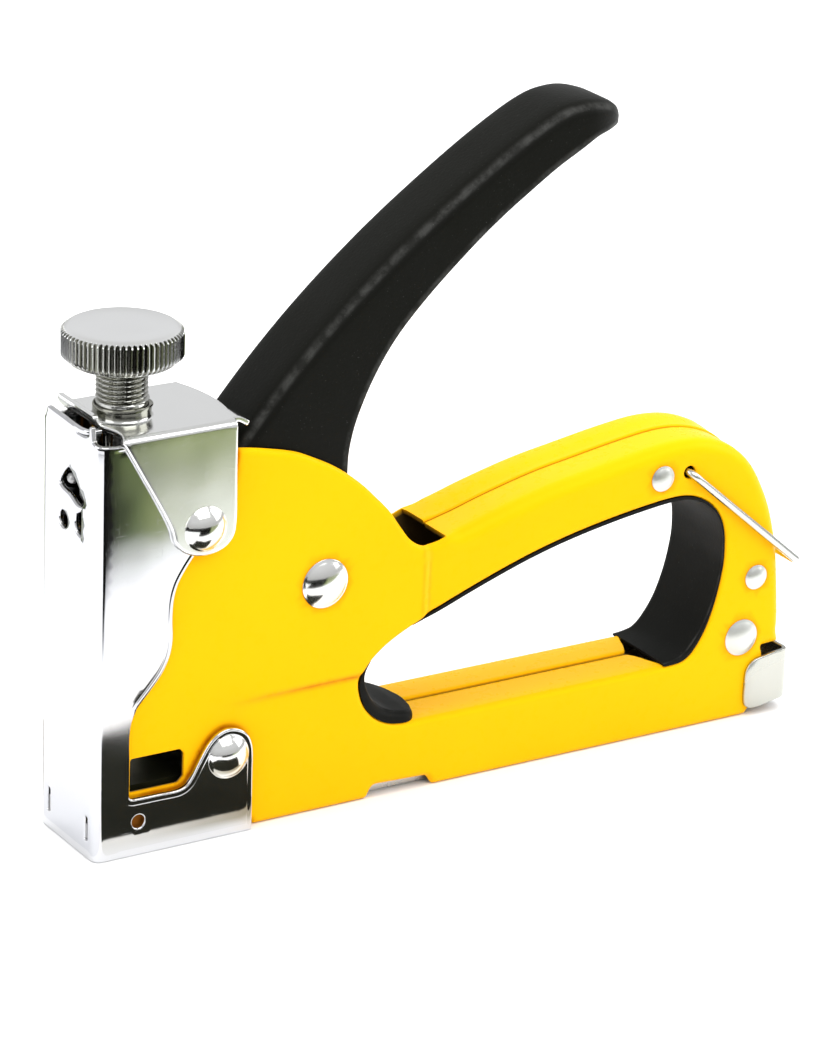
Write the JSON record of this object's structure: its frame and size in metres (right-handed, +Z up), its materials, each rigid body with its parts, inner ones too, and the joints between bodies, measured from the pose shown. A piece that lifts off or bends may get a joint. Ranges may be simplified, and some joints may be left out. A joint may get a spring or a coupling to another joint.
{
  "type": "staple gun",
  "caption": "Squeeze-lever staple gun: chrome nose with a power-adjusting screw, pressed-steel handle with a finger loop, and a rear-loading magazine.",
  "frame": {"origin": "centre of the base on the plane that the tool stands on, midway between the knob's front edge and the rear bar of the wire bail", "axes": "-X towards the nose, +X towards the rear of the handle, +Z up, away from the foot that is pressed on the work; the tool's left side faces -Y"},
  "size_m": [0.1724, 0.0306, 0.1425],
  "materials": {
    "yellow_paint": "glossy enamel",
    "chrome_plate": "polished chrome plate",
    "rivet_plate": "polished nickel plate",
    "zinc_plate": "bright zinc plate",
    "bare_steel": "hardened, oiled",
    "spring_steel": "drawn spring wire",
    "wire_plate": "bright plated wire",
    "lever_plastic": "satin black",
    "liner_plastic": "satin black",
    "buffer_rubber": "matt"
  },
  "bodies": {
    "frame": {"left_shell": "yellow_paint", "right_shell": "yellow_paint", "nose_housing": "chrome_plate", "top_bracket": "chrome_plate", "guide_plate": "bare_steel", "bumper": "buffer_rubber", "magazine_channel": "zinc_plate", "loop_liner": "liner_plastic", "pivot_rivet": "rivet_plate", "ear_rivet": "rivet_plate", "bracket_rivets": "rivet_plate", "rear_rivets": "rivet_plate", "mainspring": "spring_steel", "return_spring": "spring_steel"},
    "lever": {"lever_core": "bare_steel", "lever_cover": "lever_plastic", "lifter_claw": "bare_steel", "claw_pin": "bare_steel"},
    "striker": {"plunger": "bare_steel", "driver_blade": "bare_steel"},
    "seat": {"spring_seat": "zinc_plate"},
    "adjuster": {"adjuster_screw": "chrome_plate"},
    "magazine_slide": {"staple_rail": "zinc_plate", "end_clip": "zinc_plate", "pusher_rod": "bare_steel", "pusher_spring": "spring_steel"},
    "follower": {"pusher": "zinc_plate"},
    "bail": {"wire_latch": "wire_plate"}
  },
  "joints": [
    {"name": "lever_squeeze", "type": "hinge", "parent": "frame", "child": "lever", "pos_m": [-0.0332, 0, 0.0505], "axis": [0, 1, 0], "range_deg": [0, 38], "stiffness_Nm_per_rad": 0.3, "springref_deg": -22.92, "deforming": ["return_spring"]},
    {"name": "striker_lift", "type": "slide", "parent": "frame", "child": "striker", "axis": [0, 0, 1], "range_m": [0, 0.0168], "stiffness_N_per_m": 600, "springref_m": -0.01, "deforming": ["mainspring"]},
    {"name": "seat_travel", "type": "slide", "parent": "frame", "child": "seat", "axis": [0, 0, 1], "range_m": [-0.006, 0.002]},
    {"name": "adjuster_turn", "type": "hinge", "parent": "seat", "child": "adjuster", "pos_m": [-0.0742, 0, 0.1], "axis": [0, 0, 1], "range_deg": [-2170, 730]},
    {"name": "magazine_draw", "type": "slide", "parent": "frame", "child": "magazine_slide", "axis": [1, 0, 0], "range_m": [0, 0.1]},
    {"name": "follower_push", "type": "slide", "parent": "magazine_slide", "child": "follower", "axis": [1, 0, 0], "range_m": [0, 0.1], "stiffness_N_per_m": 25, "springref_m": -0.04, "deforming": ["pusher_spring"]},
    {"name": "bail_swing", "type": "hinge", "parent": "frame", "child": "bail", "pos_m": [0.0558, 0, 0.0591], "axis": [0, 1, 0], "range_deg": [-120, 6]}
  ],
  "couplings": [
    {"joint": "striker_lift", "follows": "lever_squeeze", "m_per_rad": 0.02518},
    {"joint": "adjuster_turn", "follows": "seat_travel", "rad_per_m": 6283.2}
  ]
}
